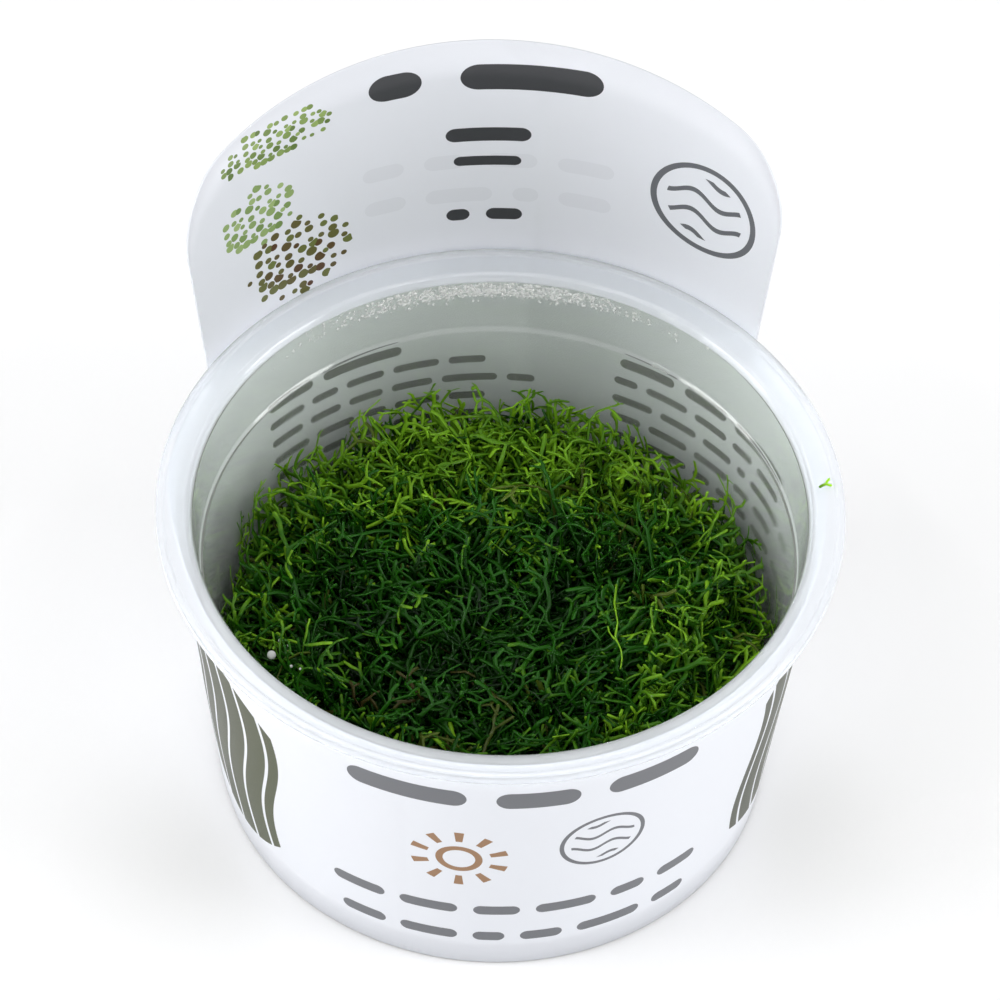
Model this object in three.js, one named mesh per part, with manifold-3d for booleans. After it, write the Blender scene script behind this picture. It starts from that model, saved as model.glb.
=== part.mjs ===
// Crystalwort growing in a clear plastic cup that wears a thin printed sleeve with a tall back tab.
// Millimetres, +Z up. The front faces -Y, and the origin is the centre of the cup's underside.
import * as THREE from "three";
import { mergeVertices } from "three/addons/utils/BufferGeometryUtils.js";
import Module from "manifold-3d";

const wasm = await Module();
wasm.setup();

// Driving sizes of the cup
const rimRadius = 52;
const rimTop = 59.3;
const flangeWidth = 4.3;
const flangeThickness = 0.8;
const beadWidth = 0.9;
const beadRise = 0.4;
const lipDepth = 1.8;
const flangeSlope = 0.2;
const wallThickness = 0.6;
const mouthRadius = 46.5;
const mouthDrop = 2.1;
const mouthChamferDrop = 0.6;
const ledgeTop = 48.1;
const ledgeWidth = 0.55;
const ledgeDrop = 0.5;
const ledgeRadius = 45.6;
const floorThickness = 0.8;
const floorRadius = 41.5;
const cornerSize = 1.1;
const cupSides = 64;

// Driving sizes of the sleeve
const sleeveThickness = 0.4;
const sleeveFoot = 0.4;
const sleeveFootRadius = 43;
const sleeveFlare = 0.1034;
const sleeveFrontTop = 57.2;
const bulgeAtFoot = 1.7;
const bulgeFlare = 0.0356;
const bulgeStart = 57;
const bulgeEnd = 104;
const tabTurn = 6.7;
const tabHalfAngle = 54;
const tabEdgeStep = 0.3;
const tabHeight = 39.9;
const tabFall = 0.0028;
const tabCorner = 11;
const sleeveColumns = 144;

// Driving sizes of the plant
const plantFoot = 1.1;
const plantFootRadius = 40.6;
const plantFootRound = 1.2;
const plantRadius = 42.4;
const plantShoulder = 4;
const plantSideDent = 0.035;
const plantWallHeight = 26;
const plantCrown = 31.5;
const domePower = 2.2;
const backRise = 5;
const backRiseSpread = 28;
const sideDip = 5;
const sideDipAngle = 92;
const sideDipSpread = 24;
const broadLumpHeight = 1.3;
const smallLumpHeight = 0.8;
const broadLump = 3.1;
const smallLump = 1.9;
const moundRings = [0.98, 0.9, 0.79, 0.67, 0.55, 0.43, 0.31, 0.2, 0.1];
const plantSides = 44;
const plantSeed = 20;
const wallGap = 0.45;
const tipLimit = 38;
const frondCount = 86;
const frondReach = 39.5;
const frondWidth = 1.4;
const frondThickness = 0.8;
const frondRoot = 3;
const stemLengths = [1.6, 3.8];
const armLengths = [2.2, 4.6];
const forkSpreads = [26, 38];
const frondLeans = [10, 66];
const frondHeadings = [-140, 140];
const frondSpins = [0, 180];

// Driving sizes of the loose piece of plant on the flange
const crumbRadius = 49.2;
const crumbAngle = 83;
const crumbLength = 1.5;
const crumbWidth = 0.5;
const crumbThickness = 0.45;
const crumbSpread = 32;
const crumbTurn = -35;
const restGap = 0.3;

const clearPlastic = new THREE.MeshStandardMaterial({
  color: 0xe6eef2,
  roughness: 0.12,
  metalness: 0,
  transparent: true,
  opacity: 0.35,
});
const printedSheet = new THREE.MeshStandardMaterial({ color: 0xf1f2f5, roughness: 0.5, metalness: 0 });
const livePlant = new THREE.MeshStandardMaterial({ color: 0x2f7a1c, roughness: 0.45, metalness: 0 });
const paleFragment = new THREE.MeshStandardMaterial({ color: 0xa9c26a, roughness: 0.5, metalness: 0 });

// Small shared helpers
const radians = THREE.MathUtils.degToRad;

function seededRandom(seed) {
  let state = seed;
  return () => {
    state = (state * 1664525 + 1013904223) % 4294967296;
    return state / 4294967296;
  };
}

function lathe(points, sides) {
  const profile = points.map(([radius, height]) => new THREE.Vector2(radius, height));
  return new THREE.LatheGeometry(profile, sides).rotateX(Math.PI / 2);
}

function plainMesh(geometry) {
  const bare = geometry.index ? geometry.toNonIndexed() : geometry.clone();
  bare.deleteAttribute("normal");
  bare.deleteAttribute("uv");
  return mergeVertices(bare, 1e-4);
}

function toSolid(geometry) {
  const merged = plainMesh(geometry);
  return new wasm.Manifold(new wasm.Mesh({
    numProp: 3,
    vertProperties: new Float32Array(merged.attributes.position.array),
    triVerts: new Uint32Array(merged.index.array),
  }));
}

function toGeometry(solid) {
  const mesh = solid.getMesh();
  const geometry = new THREE.BufferGeometry();
  geometry.setAttribute("position", new THREE.BufferAttribute(mesh.vertProperties, mesh.numProp));
  geometry.setIndex(new THREE.BufferAttribute(mesh.triVerts, 1));
  geometry.computeVertexNormals();
  return geometry;
}

function namedMesh(name, geometry, material) {
  const mesh = new THREE.Mesh(geometry, material);
  mesh.name = name;
  return mesh;
}

// Cup: one moulded wall from the floor to the flange
function innerWallRadius(height) {
  const ledgeFoot = ledgeTop - ledgeDrop;
  return THREE.MathUtils.mapLinear(height, floorThickness, ledgeFoot, floorRadius, ledgeRadius - ledgeWidth);
}

// A quarter circle of profile points that turns from straight out to straight up
function roundedCorner(centreRadius, centreHeight, size, steps) {
  return Array.from({ length: steps + 1 }, (_, step) => {
    const turn = (Math.PI / 2) * (step / steps);
    return [centreRadius + size * Math.cos(turn), centreHeight + size * Math.sin(turn)];
  });
}

function cupGeometry() {
  const ledgeFoot = ledgeTop - ledgeDrop;
  const mouthHeight = rimTop - mouthDrop;
  const flangeTop = rimTop - beadRise;
  const flangeInner = rimRadius - flangeWidth;
  const lipInner = rimRadius - flangeThickness;
  const beadRadius = beadWidth - beadRise;
  const outside = [
    [0, 0],
    [floorRadius - cornerSize, 0],
    [floorRadius + wallThickness / 2, cornerSize / 2],
    [floorRadius + wallThickness, cornerSize + wallThickness / 2],
    [ledgeRadius - ledgeWidth + wallThickness, ledgeFoot - ledgeDrop],
    [ledgeRadius + wallThickness, ledgeTop - ledgeDrop],
    [mouthRadius + wallThickness, mouthHeight - flangeSlope],
    [flangeInner, flangeTop - flangeThickness - flangeSlope],
    [lipInner, flangeTop - flangeThickness],
    [lipInner, rimTop - lipDepth],
    [rimRadius, rimTop - lipDepth],
    ...roundedCorner(rimRadius - beadRadius, rimTop - beadRadius, beadRadius, 2),
  ];
  const inside = [
    [rimRadius - beadWidth, rimTop],
    [rimRadius - beadWidth - beadRise, flangeTop],
    [flangeInner, flangeTop - flangeSlope],
    [(flangeInner + mouthRadius) / 2, flangeTop - mouthChamferDrop],
    [mouthRadius, mouthHeight],
    [ledgeRadius, ledgeTop],
    [ledgeRadius - ledgeWidth, ledgeFoot],
    [floorRadius, floorThickness + cornerSize],
    [floorRadius - cornerSize, floorThickness],
    [0, floorThickness],
  ];
  return lathe([...outside, ...inside], cupSides);
}

// Sleeve: a ring of upright strips whose upper ends follow the front edge and the tab
function bulgeShare(angle) {
  return 1 - THREE.MathUtils.smoothstep(Math.abs(angle), bulgeStart, bulgeEnd);
}

function sleeveRadius(angle, height) {
  const bulge = bulgeShare(angle) * (bulgeAtFoot + bulgeFlare * height);
  return sleeveFootRadius + sleeveFlare * height + bulge;
}

function sleeveTop(angle) {
  const out = Math.abs(angle);
  if (out > tabHalfAngle + tabEdgeStep / 2) {
    return sleeveFrontTop;
  }
  const crest = rimTop + tabHeight - tabFall * out * out;
  const fromEdge = Math.max(radians(tabHalfAngle - out), 0) * sleeveRadius(angle, crest);
  if (fromEdge > tabCorner) {
    return crest;
  }
  return crest - tabCorner + Math.sqrt(tabCorner ** 2 - (tabCorner - fromEdge) ** 2);
}

// Half of the columns stand in the tab, so that its round corners stay smooth
function columnAngle(evenAngle) {
  const out = Math.abs(evenAngle);
  const side = Math.sign(evenAngle);
  const step = 360 / sleeveColumns;
  if (out <= 90 + step / 4) {
    return side * out * tabHalfAngle / 90;
  }
  const start = tabHalfAngle + tabEdgeStep;
  return side * THREE.MathUtils.mapLinear(out, 90 + step, 180, start, 180);
}

// A plain ring of radius 1 to 2 and height 0 to 1, whose corners then move to the sleeve's places
function sleeveGeometry() {
  const geometry = lathe([[1, 0], [2, 0], [2, 1], [1, 1], [1, 0]], sleeveColumns);
  const position = geometry.attributes.position;
  for (let index = 0; index < position.count; index += 1) {
    const x = position.getX(index);
    const y = position.getY(index);
    const inner = Math.hypot(x, y) < 1.5;
    const upper = position.getZ(index) > 0.5;
    const angle = columnAngle(THREE.MathUtils.radToDeg(Math.atan2(x, y)));
    const height = upper ? sleeveTop(angle) : sleeveFoot;
    const radius = sleeveRadius(angle, height) - (inner ? sleeveThickness : 0);
    position.setXYZ(index, radius * Math.sin(radians(angle)), radius * Math.cos(radians(angle)), height);
  }
  return geometry;
}

// Plant: a lumpy mound, higher at the back and lower at both sides, with forked ribbons fused to it
function moundHeight(x, y) {
  const out = Math.min(Math.hypot(x, y) / plantRadius, 1);
  const dome = THREE.MathUtils.lerp(plantCrown, plantWallHeight, out ** domePower);
  const fromBack = Math.abs(THREE.MathUtils.radToDeg(Math.atan2(x, y)));
  const rise = backRise * Math.exp(-((fromBack / backRiseSpread) ** 2));
  const dip = sideDip * Math.exp(-(((fromBack - sideDipAngle) / sideDipSpread) ** 2));
  const broad = Math.sin(x / broadLump) * Math.cos(y / broadLump);
  const small = Math.sin((x - y) / smallLump) * Math.cos((x + y) / smallLump);
  return dome + (rise - dip) * out ** 2 + broadLumpHeight * broad + smallLumpHeight * small;
}

function moundGeometry() {
  const profile = [
    [0, plantFoot],
    [plantFootRadius - plantFootRound, plantFoot],
    [plantFootRadius, plantFoot + plantFootRound],
    [plantRadius, plantWallHeight - plantShoulder],
    ...moundRings.map((share) => [plantRadius * share, plantWallHeight]),
    [0, plantWallHeight],
  ];
  const geometry = lathe(profile, plantSides);
  const position = geometry.attributes.position;
  for (let index = 0; index < position.count; index += 1) {
    const x = position.getX(index);
    const y = position.getY(index);
    const z = position.getZ(index);
    if (z > plantWallHeight - plantShoulder / 2) {
      position.setZ(index, moundHeight(x, y));
    } else if (z > plantWallHeight / 2) {
      const angle = Math.atan2(y, x);
      const dent = 1 - plantSideDent * (1 + Math.sin(angle * 2) * Math.cos(angle * 7));
      position.setXY(index, x * dent, y * dent);
    }
  }
  return geometry;
}

function forkedRibbon(stem, leftArm, rightArm, width, thickness, spread) {
  const half = width / 2;
  const sine = Math.sin(spread);
  const cosine = Math.cos(spread);
  const armSide = (arm, side) => [
    [side * half, stem - half * (1 - cosine) / sine],
    [side * (arm * sine + half * cosine), stem + arm * cosine - half * sine],
    [side * (arm * sine - half * cosine), stem + arm * cosine + half * sine],
  ];
  const outline = [
    [-half, 0],
    [half, 0],
    ...armSide(rightArm, 1),
    [0, stem + half / sine],
    ...armSide(leftArm, -1).reverse(),
  ];
  const shape = new THREE.Shape(outline.map(([x, y]) => new THREE.Vector2(x, y)));
  const ribbon = new THREE.ExtrudeGeometry(shape, { depth: thickness, bevelEnabled: false });
  return ribbon.translate(0, 0, -thickness / 2);
}

function plantSolid() {
  const random = seededRandom(plantSeed);
  const between = ([low, high]) => THREE.MathUtils.lerp(low, high, random());
  const goldenAngle = Math.PI * (3 - Math.sqrt(5));
  let plant = toSolid(moundGeometry());
  for (let index = 0; index < frondCount; index += 1) {
    const out = frondReach * Math.sqrt((index + 0.5) / frondCount);
    const turn = index * goldenAngle;
    const x = out * Math.cos(turn);
    const y = out * Math.sin(turn);
    const stem = frondRoot + between(stemLengths);
    const spread = radians(between(forkSpreads));
    const leftArm = between(armLengths);
    const rightArm = between(armLengths);
    const ribbon = forkedRibbon(stem, leftArm, rightArm, frondWidth, frondThickness, spread);
    const lean = radians(between(frondLeans));
    const spin = radians(between(frondSpins));
    const heading = turn + radians(between(frondHeadings));
    ribbon.rotateX(Math.PI / 2).rotateZ(spin).rotateY(lean).rotateZ(heading);
    ribbon.translate(x, y, moundHeight(x, y) - frondRoot * Math.cos(lean));
    plant = plant.add(toSolid(ribbon));
  }
  const room = lathe([
    [0, plantFoot],
    [innerWallRadius(plantFoot) - wallGap, plantFoot],
    [innerWallRadius(tipLimit) - wallGap, tipLimit],
    [0, tipLimit],
  ], plantSides * 2);
  return plant.intersect(toSolid(room));
}

// Loose piece: one short fork lying flat on the flange
function crumbGeometry() {
  const stem = crumbLength / 2;
  const crumb = forkedRibbon(stem, stem, stem * 1.2, crumbWidth, crumbThickness, radians(crumbSpread));
  return crumb.translate(0, -stem, crumbThickness / 2);
}

const part = new THREE.Group();
part.name = "crystalwort_in_cup";

const cup = namedMesh("cup", cupGeometry(), clearPlastic);

const sleeve = namedMesh("sleeve", sleeveGeometry(), printedSheet);
sleeve.rotation.z = radians(tabTurn);

const crystalwort = namedMesh("crystalwort", toGeometry(plantSolid()), livePlant);

const looseFrond = namedMesh("loose_frond", crumbGeometry(), paleFragment);
looseFrond.position.set(
  crumbRadius * Math.sin(radians(crumbAngle)),
  crumbRadius * Math.cos(radians(crumbAngle)),
  rimTop - beadRise + restGap,
);
looseFrond.rotation.z = radians(crumbTurn);

part.add(cup, sleeve, crystalwort, looseFrond);

export default part;
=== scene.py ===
"""The looks of crystalwort that grows in a clear cup with a thin printed sleeve.

Metres, +Z up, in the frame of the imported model. The front faces -Y.
"""

import math
import random

import bmesh
import bpy
import numpy as np
from bpy.props import FloatProperty, FloatVectorProperty, IntProperty, PointerProperty
from mathutils import Matrix, Vector, noise


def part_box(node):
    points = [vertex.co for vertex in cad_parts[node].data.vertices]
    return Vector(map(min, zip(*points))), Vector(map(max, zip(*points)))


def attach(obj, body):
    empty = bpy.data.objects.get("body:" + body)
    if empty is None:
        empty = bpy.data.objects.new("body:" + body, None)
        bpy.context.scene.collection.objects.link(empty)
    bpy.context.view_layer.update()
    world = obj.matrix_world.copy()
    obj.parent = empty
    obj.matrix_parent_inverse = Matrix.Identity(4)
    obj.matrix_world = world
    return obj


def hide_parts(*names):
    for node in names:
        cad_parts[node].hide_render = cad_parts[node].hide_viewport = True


bl_info = {
    "name": "Crystalwort cup",
    "version": (1, 0, 0),
    "blender": (4, 5, 0),
    "location": "3D View > Sidebar > Crystalwort",
    "description": "Crystalwort in a clear cup with a printed sleeve",
    "category": "Object",
}

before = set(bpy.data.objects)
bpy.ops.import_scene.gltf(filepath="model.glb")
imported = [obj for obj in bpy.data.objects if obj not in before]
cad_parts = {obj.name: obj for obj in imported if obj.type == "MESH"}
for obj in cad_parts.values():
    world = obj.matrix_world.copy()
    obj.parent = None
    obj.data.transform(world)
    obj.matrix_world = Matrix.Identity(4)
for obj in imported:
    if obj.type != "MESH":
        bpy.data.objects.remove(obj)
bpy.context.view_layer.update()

MM = 0.001


# Settings that a user may change


def length(name, description, default):
    return FloatProperty(name=name, description=description, default=default, unit="LENGTH")


def angle(name, description, default):
    return FloatProperty(name=name, description=description, default=default, subtype="ANGLE")


def colour(name, description, default):
    return FloatVectorProperty(
        name=name, description=description, default=default, subtype="COLOR", size=3, min=0.0, max=1.0
    )


def number(name, description, default, highest):
    return IntProperty(name=name, description=description, default=default, min=0, max=highest)


class CupSettings(bpy.types.PropertyGroup):
    rim_radius: length("Rim radius", "Radius of the flange's outer edge", 0.052)
    rim_top: length("Rim height", "Height of the flange's bead", 0.0593)
    flange_width: length("Flange width", "Width of the flange round the mouth", 0.0043)
    wall: length("Wall", "Thickness of the cup's wall", 0.0006)
    floor_radius: length("Floor radius", "Inner radius of the cup's floor", 0.0415)
    mouth_radius: length("Mouth radius", "Inner radius of the mouth", 0.0465)
    ledge_top: length("Ledge height", "Height of the stacking ledge", 0.0481)
    ledge_radius: length("Ledge radius", "Inner radius just above the ledge", 0.0456)
    # Darker and greener than bare plastic: partly the plastic's own tint, partly painted shade and a painted
    # green glow from the plant
    tint: colour("Wall colour", "Colour of the clear plastic in the wall", (0.80, 0.825, 0.785))
    rim_tint: colour("Rim colour", "Colour of the clear plastic in the flange", (0.89, 0.91, 0.945))


class SleeveSettings(bpy.types.PropertyGroup):
    foot: length("Foot height", "Height of the sleeve's lower edge", 0.0004)
    front_top: length("Front height", "Height of the sleeve's upper edge at the front", 0.0572)
    thickness: length("Thickness", "Thickness of the sheet", 0.0004)
    tab_top: length("Tab height", "Height of the tab's crest", 0.0991)
    tab_corner: length("Tab corner", "Radius of the tab's upper corners", 0.011)
    tab_turn: angle("Tab turn", "Turn of the tab round the cup", math.radians(6.7))
    paper: colour("Sheet colour", "Colour of the bare sheet", (0.78, 0.80, 0.85))
    grey_ink: colour("Grey ink", "Colour of the grey print", (0.13, 0.135, 0.15))
    brown_ink: colour("Brown ink", "Colour of the brown print", (0.30, 0.155, 0.065))
    olive_ink: colour("Olive ink", "Colour of the dark olive print", (0.045, 0.055, 0.012))


class PlantSettings(bpy.types.PropertyGroup):
    fronds: number("Fronds", "Number of forked ribbons in the mound", 5400, 8000)
    width: length("Ribbon width", "Width of a ribbon", 0.00062)
    thickness: length("Ribbon thickness", "Thickness of a ribbon", 0.0002)
    # Paler green of the ribbon tips, which the painted light on the mound also reaches
    paler_green: colour("Young green", "Colour of the ribbon tips", (0.24, 0.50, 0.02))
    grown: colour("Grown green", "Colour of the grown ribbons", (0.017, 0.105, 0.005))
    # Near-black green of old ribbons, which also paints the shade deep in the mound
    old_and_shaded: colour("Old green", "Colour of the oldest ribbons", (0.003, 0.018, 0.0015))


class WaterSettings(bpy.types.PropertyGroup):
    drops: number("Drops", "Number of drops on the wall", 1100, 1500)
    largest: length("Largest drop", "Radius of the largest drop on the wall", 0.00034)
    bead: length("Bead", "Radius of the bead in the plant", 0.0007)


class StageSettings(bpy.types.PropertyGroup):
    distance: length("Camera distance", "Distance of the camera from the rim's centre", 0.8)
    pitch: angle("Camera pitch", "Tilt of the view below the horizon", math.radians(49.97))
    roll: angle("Camera roll", "Turn of the picture", 0.038)
    floor: colour("Floor colour", "Colour of the floor", (0.97, 0.97, 0.97))


# Meshes


def finished(name, bm, materials):
    """Makes an object of a bmesh"""
    mesh = bpy.data.meshes.new(name)
    bm.to_mesh(mesh)
    bm.free()
    return placed(name, mesh, materials)


def placed(name, mesh, materials):
    """Puts a mesh in the scene with its materials, smoothly shaded"""
    for material in materials:
        mesh.materials.append(material)
    mesh.polygons.foreach_set("use_smooth", [True] * len(mesh.polygons))
    piece = bpy.data.objects.new(name, mesh)
    bpy.context.scene.collection.objects.link(piece)
    return piece


def spun(profile, steps):
    """Turns a profile of (radius, height) points into a closed solid of revolution"""
    bm = bmesh.new()
    corners = [bm.verts.new((radius, 0.0, height)) for radius, height in profile]
    edges = [bm.edges.new(pair) for pair in zip(corners, corners[1:])]
    bmesh.ops.spin(
        bm, geom=corners + edges, cent=(0, 0, 0), axis=(0, 0, 1), angle=math.tau, steps=steps, use_merge=True
    )
    bmesh.ops.remove_doubles(bm, verts=bm.verts, dist=1e-6)
    bmesh.ops.recalc_face_normals(bm, faces=bm.faces)
    return bm


def only(kind, items):
    """The items that are of one kind"""
    return [item for item in items if isinstance(item, kind)]


def smooth_share(value, low, high):
    share = min(max((value - low) / (high - low), 0.0), 1.0)
    return share * share * (3.0 - 2.0 * share)


# Shader nodes


def feed(tree, sockets, values):
    """Links each value that is a socket to the input of its name, and sets the others"""
    for name, value in values.items():
        if isinstance(value, bpy.types.NodeSocket):
            tree.links.new(value, sockets[name])
        else:
            sockets[name].default_value = value


def add_node(tree, kind, inputs=None, **options):
    """Adds a node, sets its options and feeds its inputs"""
    made = tree.nodes.new(kind)
    for name, value in options.items():
        setattr(made, name, value)
    feed(tree, made.inputs, inputs or {})
    return made


def calc(tree, operation, first, second=0.0, third=0.0):
    return add_node(tree, "ShaderNodeMath", {0: first, 1: second, 2: third}, operation=operation).outputs[0]


def plus(tree, first, second):
    return calc(tree, "ADD", first, second)


def minus(tree, first, second):
    return calc(tree, "SUBTRACT", first, second)


def times(tree, first, second):
    return calc(tree, "MULTIPLY", first, second)


def ratio(tree, first, second):
    return calc(tree, "DIVIDE", first, second)


def below(tree, first, second):
    return calc(tree, "LESS_THAN", first, second)


def gap(tree, first, second):
    """How far two values lie apart"""
    return calc(tree, "ABSOLUTE", minus(tree, first, second))


def off_centre(tree, value):
    """How far a value lies from the middle of its whole step"""
    return gap(tree, calc(tree, "FRACT", value), 0.5)


def chance(tree, seed):
    """A random share for a seed value"""
    return add_node(tree, "ShaderNodeTexWhiteNoise", {"W": seed}, noise_dimensions="1D").outputs[0]


def grain(tree, vector, scale, detail):
    inputs = {"Vector": vector, "Scale": scale, "Detail": detail, "Roughness": 0.5}
    return add_node(tree, "ShaderNodeTexNoise", inputs).outputs["Fac"]


def move(tree, vector, offset, scale):
    inputs = {"Vector": vector, "Location": offset, "Scale": scale}
    return add_node(tree, "ShaderNodeMapping", inputs).outputs[0]


def vector_calc(tree, operation, first, second):
    return add_node(tree, "ShaderNodeVectorMath", {0: first, 1: second}, operation=operation).outputs[0]


def vector_length(tree, vector):
    return add_node(tree, "ShaderNodeVectorMath", {0: vector}, operation="LENGTH").outputs["Value"]


def split(tree, vector):
    return add_node(tree, "ShaderNodeSeparateXYZ", {0: vector}).outputs


def mix_colours(tree, share, first, second):
    made = add_node(tree, "ShaderNodeMix", {0: share}, data_type="RGBA")
    for index, value in ((6, first), (7, second)):
        linked = isinstance(value, bpy.types.NodeSocket)
        feed(tree, made.inputs, {index: value if linked else (*value[:3], 1.0)})
    return made.outputs[2]


def remap(tree, value, low, high, new_low=0.0, new_high=1.0):
    inputs = {"Value": value, "From Min": low, "From Max": high, "To Min": new_low, "To Max": new_high}
    return add_node(tree, "ShaderNodeMapRange", inputs, interpolation_type="SMOOTHSTEP").outputs[0]


def bump(tree, height, strength, distance):
    inputs = {"Height": height, "Strength": strength, "Distance": distance}
    return add_node(tree, "ShaderNodeBump", inputs).outputs[0]


def object_place(tree):
    return add_node(tree, "ShaderNodeTexCoord").outputs["Object"]


def new_group(name, inputs, outputs):
    """An empty node group with its sockets, and the sockets' values inside it"""
    tree = bpy.data.node_groups.new(name, "ShaderNodeTree")
    for socket, kind in inputs.items():
        tree.interface.new_socket(socket, in_out="INPUT", socket_type=f"NodeSocket{kind}")
    for socket, kind in outputs.items():
        tree.interface.new_socket(socket, in_out="OUTPUT", socket_type=f"NodeSocket{kind}")
    return tree, tree.nodes.new("NodeGroupInput").outputs, tree.nodes.new("NodeGroupOutput").inputs


def floats(*names):
    return {name: "Float" for name in names}


def use_group(tree, name, inputs):
    """Places a shared node group, which is built where it is first used"""
    group = bpy.data.node_groups.get(name) or GROUPS[name](name)
    return add_node(tree, "ShaderNodeGroup", inputs, node_tree=group).outputs


def new_material(name):
    material = bpy.data.materials.new(name)
    material.use_nodes = True
    tree = material.node_tree
    return material, tree, tree.nodes["Principled BSDF"].inputs


# Node groups that several finishes or marks share


ROW_VALUES = ("Left", "Top", "Pitch", "Rows", "Height", "Bar", "Bars", "Seed")


def rows_group(name):
    """Rows of bars with round ends; each bar keeps near the stated length"""
    inputs = {"Place": "Vector"} | floats(*ROW_VALUES, "Ragged")
    tree, given, result = new_group(name, inputs, floats("Ink"))
    parts = split(tree, given["Place"])
    along = ratio(tree, minus(tree, parts[0], given["Left"]), given["Bar"])
    down = ratio(tree, minus(tree, given["Top"], parts[1]), given["Pitch"])
    row = calc(tree, "FLOOR", down)
    across = times(tree, off_centre(tree, down), given["Pitch"])
    row_seed = calc(tree, "MULTIPLY_ADD", row, 3.71, given["Seed"])
    short = below(tree, chance(tree, row_seed), given["Ragged"])
    last = minus(tree, given["Bars"], short)
    joint = calc(tree, "ROUND", along)
    shift = minus(tree, chance(tree, calc(tree, "MULTIPLY_ADD", joint, 1.37, row_seed)), 0.5)
    between = times(tree, calc(tree, "GREATER_THAN", joint, 0.5), below(tree, joint, last))
    shift = times(tree, times(tree, shift, 0.55), between)
    from_joint = calc(tree, "ABSOLUTE", minus(tree, minus(tree, along, joint), shift))
    half = times(tree, given["Height"], 0.5)
    inside = minus(tree, times(tree, from_joint, given["Bar"]), half)
    past_end = calc(tree, "MAXIMUM", minus(tree, half, inside), 0.0)
    squares = plus(tree, times(tree, past_end, past_end), times(tree, across, across))
    ink = below(tree, calc(tree, "SQRT", squares), half)
    for test in (
        calc(tree, "GREATER_THAN", along, 0.0),
        below(tree, along, last),
        calc(tree, "GREATER_THAN", row, -0.5),
        below(tree, row, minus(tree, given["Rows"], 0.5)),
    ):
        ink = times(tree, ink, test)
    feed(tree, result, {"Ink": ink})
    return tree


def ring_group(name):
    """A ring line, the disc inside it and the way from its middle to a point"""
    inputs = {"Place": "Vector", "Middle": "Vector"} | floats("Radius", "Line")
    tree, given, result = new_group(name, inputs, floats("Ink", "Inside") | {"Away": "Vector"})
    away = vector_calc(tree, "SUBTRACT", given["Place"], given["Middle"])
    reach = vector_length(tree, away)
    ink = below(tree, gap(tree, reach, given["Radius"]), times(tree, given["Line"], 0.5))
    feed(tree, result, {"Ink": ink, "Inside": below(tree, reach, given["Radius"]), "Away": away})
    return tree


def dot_group(name):
    """Round dots of mixed size and colour that fill an oval"""
    inputs = {"Place": "Vector", "Middle": "Vector", "Stretch": "Vector", "Dot": "Float"}
    inputs |= {"Dark": "Color", "Light": "Color"}
    tree, given, result = new_group(name, inputs, {"Ink": "Float", "Colour": "Color"})
    away = vector_calc(tree, "SUBTRACT", given["Place"], given["Middle"])
    cells = {"Vector": away, "Scale": ratio(tree, 1.0, given["Dot"]), "Randomness": 0.7}
    nearest = add_node(tree, "ShaderNodeTexVoronoi", cells, voronoi_dimensions="2D").outputs
    seat = vector_calc(tree, "DIVIDE", nearest["Position"], given["Stretch"])
    picks = add_node(tree, "ShaderNodeSeparateColor", {0: nearest["Color"]}).outputs
    size = remap(tree, picks[1], 0.0, 1.0, 0.26, 0.5)
    dot = below(tree, nearest["Distance"], size)
    dot = times(tree, dot, below(tree, vector_length(tree, seat), 1.0))
    feed(tree, result, {"Ink": dot, "Colour": mix_colours(tree, picks[0], given["Dark"], given["Light"])})
    return tree


def stripe_group(name):
    """A panel of upright waving stripes, darker towards one side"""
    inputs = {"Place": "Vector", "Middle": "Vector"} | floats("Pitch", "Half Width", "Half Height")
    tree, given, result = new_group(name, inputs, floats("Ink", "Tone"))
    parts = split(tree, vector_calc(tree, "SUBTRACT", given["Place"], given["Middle"]))
    sway = times(tree, calc(tree, "SINE", times(tree, parts[1], 0.16)), 1.6)
    across = plus(tree, parts[0], sway)
    ink = below(tree, off_centre(tree, ratio(tree, across, given["Pitch"])), 0.43)
    out = calc(tree, "ABSOLUTE", across)
    share = ratio(tree, out, given["Half Width"])
    crest = times(tree, times(tree, share, share), 5.0)
    ink = times(tree, ink, below(tree, out, given["Half Width"]))
    up = plus(tree, calc(tree, "ABSOLUTE", parts[1]), crest)
    ink = times(tree, ink, below(tree, up, given["Half Height"]))
    tone = remap(tree, ratio(tree, across, given["Half Width"]), -1.0, 1.0)
    feed(tree, result, {"Ink": ink, "Tone": tone})
    return tree


def sheet_group(name):
    """Smooth coated sheet: a faint mottle and the shallow waves of a rolled sheet"""
    tree, given, result = new_group(name, {"Place": "Vector"}, floats("Tone", "Roughness", "Height"))
    mottle = grain(tree, given["Place"], 0.35, 4.0)
    fibre = grain(tree, move(tree, given["Place"], (0, 0, 0), (1.0, 3.0, 1.0)), 6.0, 2.0)
    feed(tree, result, {
        "Tone": remap(tree, mottle, 0.3, 0.7, 0.97, 1.0),
        "Roughness": remap(tree, fibre, 0.3, 0.7, 0.34, 0.44),
        "Height": calc(tree, "MULTIPLY_ADD", fibre, 0.15, mottle),
    })
    return tree


def tissue_group(name):
    """Living ribbon tissue: fine cells, a mottle and a wet film that comes and goes"""
    tree, given, result = new_group(name, {"Place": "Vector"}, floats("Mottle", "Roughness", "Height"))
    cells = {"Vector": given["Place"], "Scale": 6500.0}
    film = grain(tree, given["Place"], 420.0, 2.0)
    feed(tree, result, {
        "Mottle": grain(tree, given["Place"], 900.0, 3.0),
        "Roughness": remap(tree, film, 0.4, 0.62, 0.14, 0.32),
        "Height": add_node(tree, "ShaderNodeTexVoronoi", cells).outputs["Distance"],
    })
    return tree


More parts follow.
